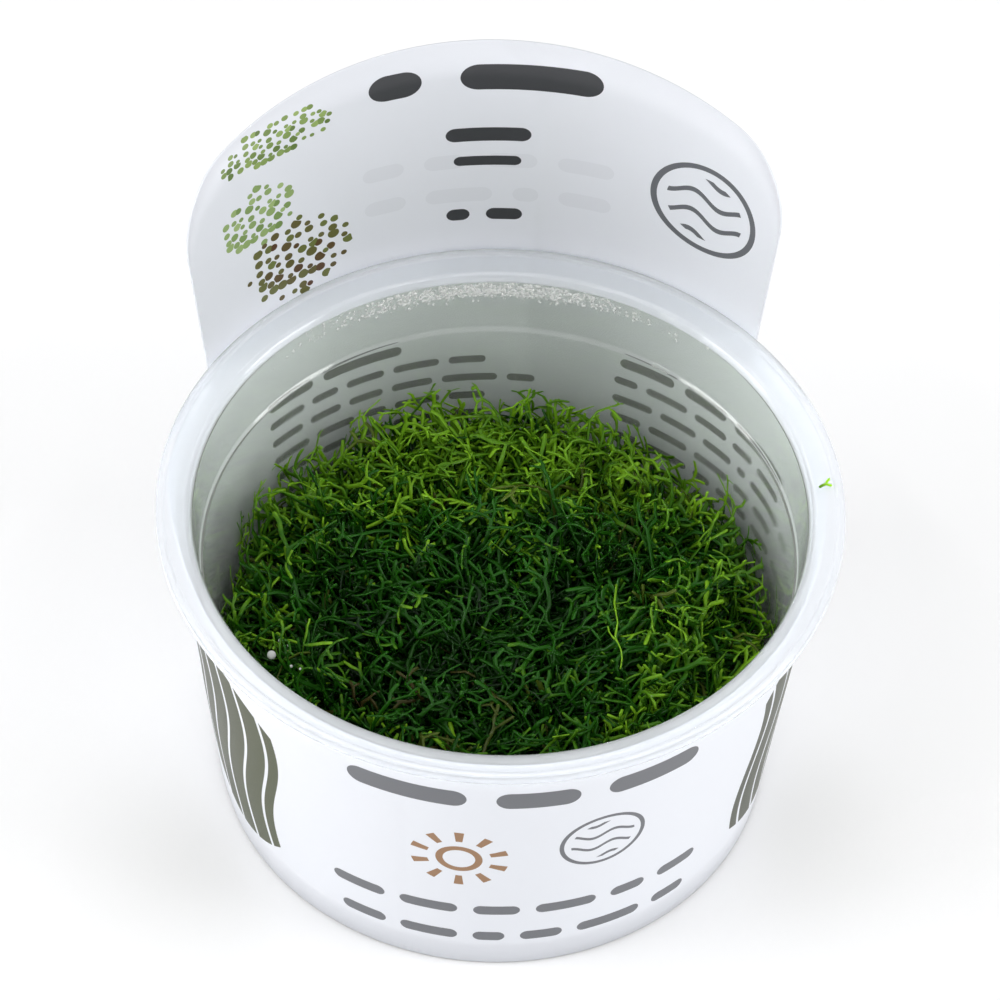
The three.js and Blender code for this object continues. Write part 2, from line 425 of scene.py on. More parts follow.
def flow_group(name):
    """The soft unevenness of moulded plastic and of water"""
    inputs = {"Place": "Vector"} | floats("Scale", "Smoothest", "Roughest")
    tree, given, result = new_group(name, inputs, floats("Roughness", "Height"))
    flow = grain(tree, given["Place"], given["Scale"], 1.0)
    rough = remap(tree, flow, 0.3, 0.7, given["Smoothest"], given["Roughest"])
    feed(tree, result, {"Roughness": rough, "Height": flow})
    return tree


GROUPS = {
    "Print rows": rows_group,
    "Print ring": ring_group,
    "Print dots": dot_group,
    "Print stripes": stripe_group,
    "Coated sheet": sheet_group,
    "Ribbon tissue": tissue_group,
    "Soft flow": flow_group,
}


# Clear finishes


def see_through(name, tint, clearness, bending, flow):
    """A clear material with an uneven gloss, and its tree, its inputs and the flow's height"""
    material, tree, shader = new_material(name)
    names = ("Scale", "Smoothest", "Roughest")
    surface = use_group(tree, "Soft flow", {"Place": object_place(tree)} | dict(zip(names, flow)))
    feed(tree, shader, {
        "Base Color": (*tint, 1.0),
        "Transmission Weight": clearness,
        "IOR": bending,
        "Roughness": surface["Roughness"],
    })
    return material, tree, shader, surface["Height"]


def light_shadow(tree, tint):
    """Lets most light pass straight through a thin clear piece"""
    clear = add_node(tree, "ShaderNodeBsdfTransparent", {"Color": (*tint, 1.0)}).outputs[0]
    shadow = add_node(tree, "ShaderNodeLightPath").outputs["Is Shadow Ray"]
    shader = tree.nodes["Principled BSDF"].outputs[0]
    mixed = add_node(tree, "ShaderNodeMixShader", {0: shadow, 1: shader, 2: clear}).outputs[0]
    feed(tree, tree.nodes["Material Output"].inputs, {"Surface": mixed})


def cup_plastic(name, tint, clearness):
    """Smooth clear plastic with the faint flow marks of moulding"""
    material, tree, shader, height = see_through(name, tint, clearness, 1.49, (160.0, 0.05, 0.1))
    feed(tree, shader, {"Normal": bump(tree, height, 0.1, 0.00003)})
    light_shadow(tree, (0.95, 0.965, 0.95))
    return material


def water(name, clearness):
    """Water with a share of flat white, which is a painted glint of light on the wall drops and the beads"""
    material, tree, _, _ = see_through(name, (1.0, 1.0, 1.0), clearness, 1.333, (900.0, 0.0, 0.03))
    light_shadow(tree, (0.97, 0.98, 0.98))
    return material


# Printed sheet, laid out in millimetres on the unrolled sleeve

SHEET_SPAN = 300.0
SHEET_RADIUS = 46.0
SHEET_SEAM = -95.0
PAPER_DIP = 0.9
SHOW_THROUGH = 0.07
DARKER_INK = 0.35
RAGGED_SHARE = 0.4
DARKEST_OLIVE = (0.028, 0.034, 0.010)

# Left end, top, pitch, rows, bar height, bar length, bars in a row and seed
BACK_ROWS = (math.radians(-20.0) * SHEET_RADIUS, 79.5, 6.6, 2, 2.7, 9.0, 4, 4.0)
# Height of the row's middle, bar height, bar length, bars in the row and seed
FRONT_ROWS = (
    (48.2, 4.2, 19.0, 3, 11.0),
    (16.2, 2.5, 10.6, 6, 2.6),
    (8.4, 2.5, 10.2, 6, 7.2),
)
# Turn of the left end, then the same as for the back rows
INNER_ROWS = (
    (-19.5, 96.8, 9.0, 1, 4.8, 11.6, 1, 5.1),
    (-5.0, 96.8, 9.0, 1, 4.8, 22.6, 1, 5.1),
    (-6.0, 83.8, 5.0, 1, 2.6, 13.6, 1, 8.0),
    (-4.2, 78.2, 4.0, 1, 1.8, 10.6, 1, 9.0),
    (-5.7, 68.0, 4.6, 1, 2.2, 6.2, 2, 5.0),
    (-43.0, 42.0, 3.75, 1, 1.9, 12.5, 2, 14.0),
    (-43.0, 38.25, 3.75, 6, 1.45, 7.5, 6, 21.0),
    (27.0, 41.8, 3.75, 1, 1.9, 12.0, 3, 17.0),
    (26.5, 38.05, 3.75, 6, 1.45, 7.2, 6, 33.0),
)
# Turn, height, half sizes, size of a dot, dark and light colour
DOTTED_OVALS = (
    (-33.0, 90.5, (8.8, 3.8, 1.0), 1.25, (0.10, 0.17, 0.03, 1.0), (0.30, 0.42, 0.12, 1.0)),
    (-38.0, 78.0, (6.2, 5.6, 1.0), 1.5, (0.16, 0.26, 0.07, 1.0), (0.34, 0.46, 0.18, 1.0)),
    (-31.5, 66.5, (8.2, 7.4, 1.0), 1.7, (0.09, 0.035, 0.015, 1.0), (0.14, 0.17, 0.04, 1.0)),
)


def on_sheet(turn, height):
    """A point on the unrolled sheet, from its turn round the cup in degrees and its height"""
    return (math.radians(turn) * SHEET_RADIUS, height, 0.0)


def printed_sheet(name, settings, find_inks):
    """Coated sheet with the print that find_inks gives as pairs of a mask and its colour"""
    material, tree, shader = new_material(name)
    uv = add_node(tree, "ShaderNodeUVMap", uv_map="sheet").outputs[0]
    place = move(tree, uv, on_sheet(SHEET_SEAM, 0.0), (SHEET_SPAN, SHEET_SPAN, 1))
    sheet = use_group(tree, "Coated sheet", {"Place": place})
    base = mix_colours(tree, sheet["Tone"], [value * PAPER_DIP for value in settings.paper], settings.paper)
    for ink, ink_colour in find_inks(tree, place, settings):
        base = mix_colours(tree, ink, base, ink_colour)
    feed(tree, shader, {
        "Base Color": base,
        "Roughness": sheet["Roughness"],
        "Normal": bump(tree, sheet["Height"], 0.15, 0.00005),
        "Specular IOR Level": 0.5,
    })
    return material


def rows_ink(tree, place, block):
    """Ink of one block of rows; only a block of many rows has ragged ends"""
    inputs = {"Place": place} | dict(zip(ROW_VALUES, map(float, block)))
    inputs["Ragged"] = RAGGED_SHARE if inputs["Rows"] > 2 else 0.0
    return use_group(tree, "Print rows", inputs)["Ink"]


def sun_ink(tree, place, middle):
    """A ring with ten rays round it"""
    ring = use_group(tree, "Print ring", {"Place": place, "Middle": middle, "Radius": 3.0, "Line": 1.1})
    rays = use_group(tree, "Print ring", {"Place": place, "Middle": middle, "Radius": 6.2, "Line": 2.6})
    parts = split(tree, rays["Away"])
    turn = ratio(tree, calc(tree, "ARCTAN2", parts[1], parts[0]), math.tau / 10)
    ray = below(tree, off_centre(tree, turn), 0.16)
    return calc(tree, "MAXIMUM", times(tree, rays["Ink"], ray), ring["Ink"])


def wave_ink(tree, place, middle, radius, line):
    """A ring with wave lines in it"""
    mark = {"Place": place, "Middle": middle}
    ring = use_group(tree, "Print ring", mark | {"Radius": radius, "Line": line})
    within = use_group(tree, "Print ring", mark | {"Radius": radius - line * 2, "Line": 0.0})
    parts = split(tree, ring["Away"])
    sway = times(tree, calc(tree, "SINE", times(tree, parts[0], 6.0 / radius)), line)
    height = ratio(tree, plus(tree, parts[1], sway), radius * 0.5)
    wave = times(tree, below(tree, off_centre(tree, height), line / radius), within["Inside"])
    return calc(tree, "MAXIMUM", ring["Ink"], wave)


def outside_inks(tree, place, settings):
    """Rows at the back and the front, a sun, a wave ring and a striped panel at each side"""
    inks = [(rows_ink(tree, place, BACK_ROWS), settings.grey_ink)]
    front = on_sheet(180.0, 0.0)[0]
    for middle, height, bar, bars, seed in FRONT_ROWS:
        block = (front - bar * bars / 2, middle + height, height * 2, 1, height, bar, bars, seed)
        inks.append((rows_ink(tree, place, block), settings.grey_ink))
    inks.append((sun_ink(tree, place, on_sheet(192.0, 31.0)), settings.brown_ink))
    inks.append((wave_ink(tree, place, on_sheet(165.0, 33.5), 6.4, 0.7), settings.grey_ink))
    for turn in (112.0, 248.0):
        inputs = {"Place": place, "Middle": on_sheet(turn, 27.0), "Half Width": 13.0, "Half Height": 21.0}
        stripes = use_group(tree, "Print stripes", inputs | {"Pitch": 5.2})
        inks.append((stripes["Ink"], mix_colours(tree, stripes["Tone"], settings.olive_ink, DARKEST_OLIVE)))
    return inks


def inside_inks(tree, place, settings):
    """The back rows that show through, the tab's marks and the rows seen through the cup"""
    behind = times(tree, rows_ink(tree, place, BACK_ROWS), SHOW_THROUGH)
    inks = [(behind, settings.grey_ink)]
    dark = [value * DARKER_INK for value in settings.grey_ink]
    for turn, *block in INNER_ROWS:
        inks.append((rows_ink(tree, place, (on_sheet(turn, 0)[0], *block)), dark))
    inks.append((wave_ink(tree, place, on_sheet(39.5, 76.0), 7.6, 0.9), settings.grey_ink))
    for turn, height, reach, dot, dark_dot, light_dot in DOTTED_OVALS:
        inputs = {"Place": place, "Middle": on_sheet(turn, height), "Stretch": reach, "Dot": dot}
        dots = use_group(tree, "Print dots", inputs | {"Dark": dark_dot, "Light": light_dot})
        inks.append((dots["Ink"], dots["Colour"]))
    return inks


# Living and studio finishes

DRY_BROWN = (0.10, 0.06, 0.02)


def ribbon_green(name, settings, lift=1.0):
    """Green that lightens towards the tips and with painted light, and darkens with painted shade at the
    roots, with some ribbons paler or browner than others
    """
    material, tree, shader = new_material(name)
    tissue = use_group(tree, "Ribbon tissue", {"Place": object_place(tree)})
    # The age attribute holds each ribbon's age from root to tip, with painted light and painted shade added
    age = add_node(tree, "ShaderNodeAttribute", attribute_name="age").outputs["Fac"]
    shade = add_node(tree, "ShaderNodeAttribute", attribute_name="shade").outputs["Fac"]
    age = calc(tree, "MULTIPLY_ADD", minus(tree, tissue["Mottle"], 0.5), 0.35, age)
    green = mix_colours(tree, remap(tree, age, 0.0, 0.5), settings.old_and_shaded, settings.grown)
    tip = times(tree, remap(tree, age, 0.45, 1.05), remap(tree, shade, 0.0, 1.0, 0.3, 1.0))
    green = mix_colours(tree, tip, green, [value * lift for value in settings.paler_green])
    brown = times(tree, below(tree, shade, 0.03), 0.5)
    feed(tree, shader, {
        "Base Color": mix_colours(tree, brown, green, DRY_BROWN),
        "Roughness": tissue["Roughness"],
        "Normal": bump(tree, tissue["Height"], 0.25, 0.00002),
        "Specular IOR Level": 0.18,
    })
    return material


def pale_floor(settings):
    material, tree, shader = new_material("pale_floor")
    tone = remap(tree, grain(tree, object_place(tree), 3.0, 3.0), 0.3, 0.7, 0.985, 1.0)
    base = mix_colours(tree, tone, (0, 0, 0), settings.floor)
    feed(tree, shader, {"Base Color": base, "Roughness": 0.7, "Specular IOR Level": 0.2})
    return material


# Cup

CUP_STEPS = 160
SHARP_TURN = math.radians(12)
EDGE_ROUND = 0.16 * MM
MILKY_DEPTH = 2.0 * MM


def cup_profile(cup):
    """Points from the middle of the underside, up the outside and down the inside"""
    corner = 1.1 * MM
    bead = 0.9 * MM
    drop = 0.4 * MM
    flange_top = cup.rim_top - drop
    flange_inner = cup.rim_radius - cup.flange_width
    mouth = cup.rim_top - 2.1 * MM
    ledge_foot = cup.ledge_top - 0.5 * MM
    ledge_inner = cup.ledge_radius - 0.55 * MM
    lip_inner = cup.rim_radius - 0.8 * MM
    lip_foot = cup.rim_top - 1.8 * MM
    floor = 0.8 * MM
    outside = [
        (0.0, 0.0),
        (cup.floor_radius - corner, 0.0),
        (cup.floor_radius + cup.wall / 2, corner / 2),
        (cup.floor_radius + cup.wall, corner + cup.wall / 2),
        (ledge_inner + cup.wall, ledge_foot - 0.5 * MM),
        (cup.ledge_radius + cup.wall, cup.ledge_top - 0.5 * MM),
        (cup.mouth_radius + cup.wall, mouth - 0.2 * MM),
        (flange_inner, flange_top - 1.0 * MM),
        (lip_inner, flange_top - 0.8 * MM),
        (lip_inner, lip_foot),
        (cup.rim_radius, lip_foot),
        (cup.rim_radius, cup.rim_top),
    ]
    inside = [
        (cup.rim_radius - bead, cup.rim_top),
        (cup.rim_radius - bead - drop, flange_top),
        (flange_inner, flange_top - 0.2 * MM),
        (flange_inner - 0.6 * MM, flange_top - 0.6 * MM),
        (cup.mouth_radius, mouth),
        (cup.ledge_radius, cup.ledge_top),
        (ledge_inner, ledge_foot),
        (cup.floor_radius, floor + corner),
        (cup.floor_radius - corner, floor),
        (0.0, floor),
    ]
    return outside + inside


class CRYSTALWORT_OT_cup(bpy.types.Operator):
    """Spin the clear cup with its flange, bead, lip and stacking ledge"""

    bl_idname = "crystalwort.cup"
    bl_label = "Cup"

    def execute(self, context):
        cup = context.scene.crystalwort_cup
        bm = spun(cup_profile(cup), CUP_STEPS)
        rings = [edge for edge in bm.edges if edge.is_manifold and edge.calc_face_angle() > SHARP_TURN]
        bmesh.ops.bevel(
            bm,
            geom=rings,
            offset=EDGE_ROUND,
            affect="EDGES",
            segments=3,
            profile=0.5,
            material=-1,
            clamp_overlap=True,
        )
        for face in bm.faces:
            face.material_index = int(face.calc_center_median().z > cup.rim_top - MILKY_DEPTH)
        # The wall's tint holds painted shade and a painted green glow from the plant along with the
        # plastic's own tint
        wall = cup_plastic("clear_plastic", cup.tint, 0.9)
        rim = cup_plastic("milky_plastic", cup.rim_tint, 0.68)
        piece = finished("clear_cup", bm, [wall, rim])
        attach(piece, "root")
        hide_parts("cup")
        return {"FINISHED"}


# Sleeve

FOOT_RADIUS = 0.043
FLARE = 0.1034
BULGE_FOOT = 0.0017
BULGE_FLARE = 0.0356
BULGE_END = 104.0
TAB_HALF = 54.0
TAB_FALL = 0.0028
TAB_COLUMNS = 96
FRONT_COLUMNS = 144
FRONT_ROUNDS = 8
TAB_ROUNDS = 6


def sleeve_radius(turn, height):
    """Outer radius in metres at a turn in degrees from the tab's centre line"""
    bulge = 1.0 - smooth_share(abs(turn), TAB_HALF + 3.0, BULGE_END)
    return FOOT_RADIUS + FLARE * height + bulge * (BULGE_FOOT + BULGE_FLARE * height)


def tab_top(sleeve, turn):
    """Height of the tab's upper edge, with its fall to the sides and its round corners"""
    crest = sleeve.tab_top - TAB_FALL * MM * turn * turn
    from_edge = math.radians(TAB_HALF - abs(turn)) * sleeve_radius(turn, crest)
    short = max(sleeve.tab_corner - from_edge, 0.0)
    return crest - sleeve.tab_corner + math.sqrt(sleeve.tab_corner**2 - short**2)


def sleeve_turns():
    """Turns of the columns: close together at the tab's edges, even round the front"""
    half = TAB_COLUMNS // 2
    tab = [TAB_HALF * math.sin(math.pi / 2 * step / half) for step in range(-half, half + 1)]
    step_turn = (360.0 - 2 * TAB_HALF) / FRONT_COLUMNS
    front = [TAB_HALF + step_turn * step for step in range(1, FRONT_COLUMNS)]
    return tab + front


def wrapped(turn):
    return (turn + 180.0) % 360.0 - 180.0


def on_sleeve(turn, height):
    """The point of the sleeve's outside at a turn and a height"""
    radius = sleeve_radius(wrapped(turn), height)
    return (radius * math.sin(math.radians(turn)), radius * math.cos(math.radians(turn)), height)


def raise_rim(bm, rim, heights, turns, column):
    """Extrudes the edges of an open rim upwards, to the height given for each column"""
    new = bmesh.ops.extrude_edge_only(bm, edges=rim)["geom"]
    for vert in only(bmesh.types.BMVert, new):
        turn = turns[vert[column]]
        vert.co = on_sleeve(turn, heights(turn))
    return only(bmesh.types.BMEdge, new)


class CRYSTALWORT_OT_sleeve(bpy.types.Operator):
    """Wrap the thin sleeve round the cup and raise its tab"""

    bl_idname = "crystalwort.sleeve"
    bl_label = "Sleeve"

    def execute(self, context):
        sleeve = context.scene.crystalwort_sleeve
        turns = sleeve_turns()
        bm = bmesh.new()
        column = bm.verts.layers.int.new("column")
        foot = bmesh.ops.create_circle(bm, cap_ends=False, segments=len(turns), radius=1.0)["verts"]
        for index, vert in enumerate(foot):
            vert[column] = index
            vert.co = on_sleeve(turns[index], sleeve.foot)
        rim = list(bm.edges)
        for row in range(1, FRONT_ROUNDS + 1):
            height = sleeve.foot + (sleeve.front_top - sleeve.foot) * row / FRONT_ROUNDS
            rim = raise_rim(bm, rim, lambda turn: height, turns, column)
        rim = [edge for edge in rim if all(abs(turns[vert[column]]) <= TAB_HALF for vert in edge.verts)]
        low = sleeve.front_top
        for row in range(1, TAB_ROUNDS + 1):
            rim = raise_rim(
                bm, rim, lambda turn: low + (tab_top(sleeve, turn) - low) * row / TAB_ROUNDS, turns, column
            )
        bmesh.ops.recalc_face_normals(bm, faces=bm.faces)
        outer = bm.faces[0]
        if outer.normal.dot(outer.calc_center_median()) < 0:
            bmesh.ops.reverse_faces(bm, faces=bm.faces)
        self.unroll(bm, turns, column)
        self.thicken(bm, sleeve)
        bmesh.ops.rotate(bm, verts=bm.verts, cent=(0, 0, 0), matrix=Matrix.Rotation(sleeve.tab_turn, 3, "Z"))
        outside = printed_sheet("printed_outside", sleeve, outside_inks)
        inside = printed_sheet("printed_inside", sleeve, inside_inks)
        piece = finished("printed_sleeve", bm, [outside, inside])
        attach(piece, "root")
        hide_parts("sleeve")
        return {"FINISHED"}

    def unroll(self, bm, turns, column):
        """Gives each corner its place on the flat sheet"""
        uv = bm.loops.layers.uv.new("sheet")
        seam = math.radians(SHEET_SEAM) * SHEET_RADIUS
        for face in bm.faces:
            middle = face.calc_center_median()
            centre = math.degrees(math.atan2(middle.x, middle.y))
            centre = centre + 360.0 if centre < SHEET_SEAM else centre
            for loop in face.loops:
                turn = centre + wrapped(turns[loop.vert[column]] - centre)
                across = math.radians(turn) * SHEET_RADIUS - seam
                loop[uv].uv = (across / SHEET_SPAN, loop.vert.co.z / MM / SHEET_SPAN)

    def thicken(self, bm, sleeve):
        """Gives the sheet its thickness, and its inside the inner print"""
        outside = list(bm.faces)
        new = bmesh.ops.solidify(bm, geom=outside, thickness=sleeve.thickness)["geom"]
        inside = set(only(bmesh.types.BMFace, new))
        kept = set(outside)
        for face in bm.faces:
            middle = face.calc_center_median()
            radial = Vector((middle.x, middle.y, 0)).normalized()
            if face in inside and face.normal.dot(radial) < -0.5:
                face.material_index = 1
            elif face not in kept:
                face.material_index = 0


# Shape of the plant, in millimetres and degrees

PLANT_RADIUS = 42.4
CROWN = 31.5
WALL_HEIGHT = 26.0
DOME_POWER = 2.2
BACK_RISE = 5.0
BACK_SPREAD = 28.0
SIDE_DIP = 5.0
SIDE_DIP_TURN = 92.0
SIDE_SPREAD = 24.0
PLANT_FOOT = 1.1
PLANT_TOP = 38.6
TOP_ROOM = 5.5
WALL_GAP = 0.25
WALL_ROOM = 2.5
FLOOR_RADIUS = 41.5
FLOOR_TOP = 0.8
WALL_SPREAD = 3.55
WALL_RISE = 46.8
BROAD_LUMP = 3.1
BROAD_LUMP_RISE = 1.3
SMALL_LUMP = 1.9
SMALL_LUMP_RISE = 0.8
HOLLOW_DEPTH = 9.0
CLUMP_RISE = 4.0


def inner_wall(height):
    """Inner radius of the cup's wall below the ledge"""
    return FLOOR_RADIUS + (height - FLOOR_TOP) * WALL_SPREAD / WALL_RISE


def mound_height(x, y):
    """Height of the mound: domed, higher at the back, lower at both sides"""
    out = np.minimum(np.hypot(x, y) / PLANT_RADIUS, 1.0)
    dome = CROWN + (WALL_HEIGHT - CROWN) * out**DOME_POWER
    from_back = np.abs(np.degrees(np.arctan2(x, y)))
    rise = BACK_RISE * np.exp(-((from_back / BACK_SPREAD) ** 2))
    dip = SIDE_DIP * np.exp(-(((from_back - SIDE_DIP_TURN) / SIDE_SPREAD) ** 2))
    broad = np.sin(x / BROAD_LUMP) * np.cos(y / BROAD_LUMP)
    small = np.sin((x - y) / SMALL_LUMP) * np.cos((x + y) / SMALL_LUMP)
    return float(dome + (rise - dip) * out**2 + BROAD_LUMP_RISE * broad + SMALL_LUMP_RISE * small)


def surface_height(x, y):
    """Height of the fronds over the mound, with deep hollows and broad clumps"""
    hollow = noise.noise(Vector((x, y, 40.0)) * 0.17)
    clump = noise.noise(Vector((x, y, 90.0)) * 0.09)
    return mound_height(x, y) - HOLLOW_DEPTH * max(hollow - 0.05, 0.0) + CLUMP_RISE * clump


def painted_light(x, y):
    """Painted light: how much paler the green is made where more light falls, most at the back, then at the
    right and round the edge
    """
    back = 1.45 * smooth_share(y, 8.0, 30.0)
    right = 0.85 * smooth_share(x - 0.35 * y, 8.0, 31.0)
    edge = 0.85 * smooth_share(math.hypot(x, y), 20.0, 37.0)
    return max(back, right, edge)


def eased(values, limit, room):
    """Presses values that near a limit together over the room before it, so that none passes it"""
    over = np.maximum(values - (limit - room), 0.0)
    return np.minimum(values, limit - room) + room * (1.0 - np.exp(-over / room))


def held_in_cup(points):
    """Presses the points that would pass the wall or rise too high back into the cup"""
    points[:, 2] = np.maximum(eased(points[:, 2], PLANT_TOP, TOP_ROOM), PLANT_FOOT)
    reach = np.hypot(points[:, 0], points[:, 1])
    held = eased(reach, inner_wall(points[:, 2]) - WALL_GAP, WALL_ROOM)
    points[:, :2] *= (held / np.maximum(reach, 1e-6))[:, None]
    return points


# Single fronds, in millimetres and radians

STEM_LENGTHS = (3.5, 8.0)
ARM_LENGTHS = (1.8, 4.4)
TIP_LENGTHS = (0.9, 2.8)
BLUNT_LENGTHS = (0.6, 2.0)
FORK_LEANS = (0.35, 0.7)
TIP_LEANS = (0.4, 0.8)
SECOND_FORKS = 0.55
PATH_STEP = 0.25
PATH_END = 36.0


class FrondMaker:
    """Models single fronds: a flat ribbon along +Z that forks once or twice"""

    def __init__(self, seed, width, thickness):
        self.dice = random.Random(seed)
        self.width = width
        self.thickness = thickness

    def grow(self, bm, edge, heading, length, widths, ages_and_light):
        """Extrudes one ribbon from an edge, a step for each width"""
        step = length / len(widths)
        sweep = self.dice.uniform(-0.28, 0.28)
        for width, age in zip(widths, ages_and_light):
            heading += (sweep + self.dice.uniform(-0.35, 0.35)) * min(step / self.width / 2, 1.0)
            along = Vector((math.sin(heading), 0.0, math.cos(heading)))
            across = Vector((math.cos(heading), 0.0, -math.sin(heading)))
            centre = (edge.verts[0].co + edge.verts[1].co) / 2 + along * step
            new = bmesh.ops.extrude_edge_only(bm, edges=[edge])["geom"]
            verts = only(bmesh.types.BMVert, new)
            edge = only(bmesh.types.BMEdge, new)[0]
            verts.sort(key=lambda vert: vert.co.dot(across))
            verts[0].co = centre - across * width / 2
            verts[1].co = centre + across * width / 2
            for vert in verts:
                vert[self.age] = age
        return edge, heading

    def fork(self, bm, edge, heading):
        """Splits the end of a ribbon into two edges, one for each arm"""
        new = bmesh.ops.subdivide_edges(bm, edges=[edge], cuts=1)["geom_inner"]
        middle = only(bmesh.types.BMVert, new)[0]
        middle.co += Vector((math.sin(heading), 0.0, math.cos(heading))) * self.width * 0.35
        across = Vector((math.cos(heading), 0.0, -math.sin(heading)))
        tip = [item for item in middle.link_edges if item.is_boundary]
        return sorted(tip, key=lambda item: (item.verts[0].co + item.verts[1].co).dot(across))

    def frond(self, stem=None):
        """One frond: a stem and two arms, of which some fork again near the tip"""
        bm = bmesh.new()
        self.age = bm.verts.layers.float.new("age")
        dice = self.dice
        width = self.width * dice.uniform(0.85, 1.1)
        start = [bm.verts.new((side * width * 0.4, 0.0, 0.0)) for side in (-1, 1)]
        edge = bm.edges.new(start)
        stem = stem or dice.uniform(*STEM_LENGTHS)
        edge, heading = self.grow(bm, edge, 0.0, stem, [width] * 4, (0.1, 0.22, 0.34, 0.46))
        spread = dice.uniform(*FORK_LEANS)
        for side, arm in zip((-1, 1), self.fork(bm, edge, heading)):
            arm_length = dice.uniform(*ARM_LENGTHS)
            lean = heading + side * spread
            arm, turned_to = self.grow(bm, arm, lean, arm_length, [width * 0.92] * 2, (0.58, 0.72))
            if dice.random() < SECOND_FORKS:
                for way, tip in zip((-1, 1), self.fork(bm, arm, turned_to)):
                    lean = turned_to + way * dice.uniform(*TIP_LEANS)
                    tip_length = dice.uniform(*TIP_LENGTHS)
                    self.grow(bm, tip, lean, tip_length, [width * 0.85, width * 0.55], (0.86, 1.0))
            else:
                blunt_length = dice.uniform(*BLUNT_LENGTHS)
                arm, turned_to = self.grow(bm, arm, turned_to, blunt_length, [width * 0.9], (0.9,))
                self.grow(bm, arm, turned_to, width * 0.4, [width * 0.45], (1.0,))
        raised = bmesh.ops.extrude_face_region(bm, geom=bm.faces[:])["geom"]
        bmesh.ops.translate(bm, verts=only(bmesh.types.BMVert, raised), vec=(0.0, self.thickness, 0.0))
        bmesh.ops.recalc_face_normals(bm, faces=bm.faces)
        return self.read(bm)

    def read(self, bm):
        """Points, ages and faces of a frond, so that it can be bent many times"""
        bm.verts.index_update()
        points = np.array([vert.co[:] for vert in bm.verts])
        ages_and_light = np.array([vert[self.age] for vert in bm.verts])
        faces = [[vert.index for vert in face.verts] for face in bm.faces]
        bm.free()
        return points, ages_and_light, faces


def bend(points, curl, hook, twist, sway, phase):
    """Bends a frond out of its plane, more towards its tip, twists it and sways it to the side"""
    x, y, z = points.T
    turn = twist * z
    x, y = x * np.cos(turn) - y * np.sin(turn), x * np.sin(turn) + y * np.cos(turn)
    x = x + sway * (np.sin(z * 0.7 + phase) - math.sin(phase))
    path = np.arange(0.0, PATH_END, PATH_STEP)
    angles = curl * path + hook * path**2 + 0.3 * (np.sin(path * 0.8 + phase) - math.sin(phase))
    out = np.cumsum(np.sin(angles)) * PATH_STEP
    up = np.cumsum(np.cos(angles)) * PATH_STEP
    here = np.interp(z, path, angles)
    return np.stack([
        x,
        np.interp(z, path, out) + y * np.cos(here),
        np.interp(z, path, up) - y * np.sin(here),
    ], axis=1)


def turned(points, spin, lean, heading):
    """Turns a frond about its own length, leans it from upright and points it at a heading"""
    matrix = (
        Matrix.Rotation(heading, 3, "Z") @ Matrix.Rotation(lean, 3, "Y") @ Matrix.Rotation(spin, 3, "Z")
    )
    return points @ np.array(matrix).T


def frond_mesh(name, points, faces, values):
    """A mesh of fronds with a value of each kind at every point"""
    mesh = bpy.data.meshes.new(name)
    mesh.from_pydata((points * MM).tolist(), [], faces)
    for label, numbers in values.items():
        attribute = mesh.attributes.new(label, "FLOAT", "POINT")
        attribute.data.foreach_set("value", numbers.astype(np.float32))
    return mesh


# Plant

FROND_KINDS = 40
LONG_KINDS = 16
LONG_STEMS = (7.0, 12.0)
MOUND_REACH = 41.0
CROWN_REACH = 17.0
GOLDEN_TURN = math.pi * (3.0 - math.sqrt(5.0))
PALE_SHARE = 0.08
LOWEST_TIP = 0.16
BACK_TIPS = 46
HEART_STEPS = 96
HEART_TOP = 20.0
HEART_RINGS = (0.97, 0.88, 0.76, 0.64, 0.52, 0.4, 0.28, 0.16, 0.06)

# Upper end of its share of the draws, depths of the roots, leans in degrees, and sizes
LAYERS = {
    "deep": (0.3, (5.0, 9.0), (40, 110), (0.9, 1.2)),
    "lying": (0.58, (1.6, 5.0), (50, 105), (0.8, 1.15)),
    "long": (0.79, (-0.6, 1.6), (62, 100), (0.9, 1.2)),
    "rising": (1.0, (4.5, 8.5), (4, 62), (0.8, 1.15)),
}

# Root, lean, heading, stem length and curl of one long strand and of one curl
SINGLE_FRONDS = (
    ((18.4, 3.0, 41.5), 92, -94, 19.0, (0.004, 0.0002)),
    ((35.0, 8.0, 24.0), 30, 30, 10.0, (0.05, 0.011)),
)


